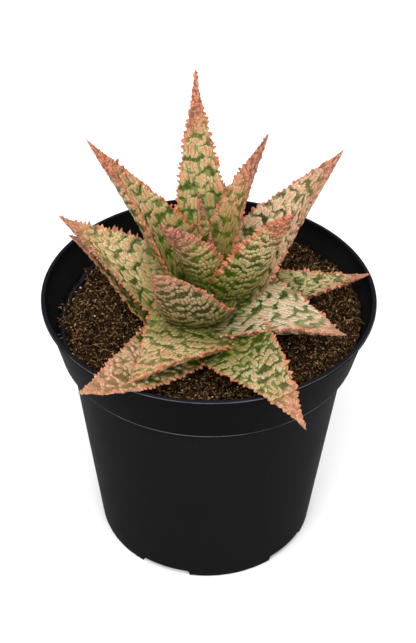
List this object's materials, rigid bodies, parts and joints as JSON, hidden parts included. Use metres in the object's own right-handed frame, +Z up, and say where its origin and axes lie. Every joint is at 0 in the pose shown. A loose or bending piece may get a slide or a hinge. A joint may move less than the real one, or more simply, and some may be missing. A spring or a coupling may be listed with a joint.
{
  "type": "potted aloe",
  "caption": "Rosette of thick, toothed, spotted aloe leaves on a short stem, rooted in peat in a round black nursery pot that stands on its flat base.",
  "frame": {"origin": "centre of the pot's flat underside", "axes": "+Z up along the pot's axis, -Y towards the front of the pictured view, +X to its right"},
  "size_m": [0.152, 0.169, 0.2147],
  "materials": {
    "pot_plastic": "thin moulded black plastic, satin outside",
    "peat": null,
    "stem": null,
    "leaf": null,
    "young_leaf": null
  },
  "bodies": {
    "root": {"pot": "pot_plastic", "soil": "peat", "stem": "stem", "leaf_front_low": "leaf", "leaf_front_left_low": "leaf", "leaf_left_under": "leaf", "leaf_back_left_low": "leaf", "leaf_back_right_low": "leaf", "leaf_right_low": "leaf", "leaf_front_left": "leaf", "leaf_right_front": "leaf", "leaf_left_broad": "leaf", "leaf_right_high": "leaf", "leaf_inner_front": "leaf", "leaf_left_high": "leaf", "leaf_inner_right": "leaf", "leaf_back_tall": "leaf", "leaf_inner_left": "young_leaf", "leaf_inner_back": "young_leaf", "leaf_young": "young_leaf", "leaf_bud": "young_leaf"}
  },
  "joints": []
}
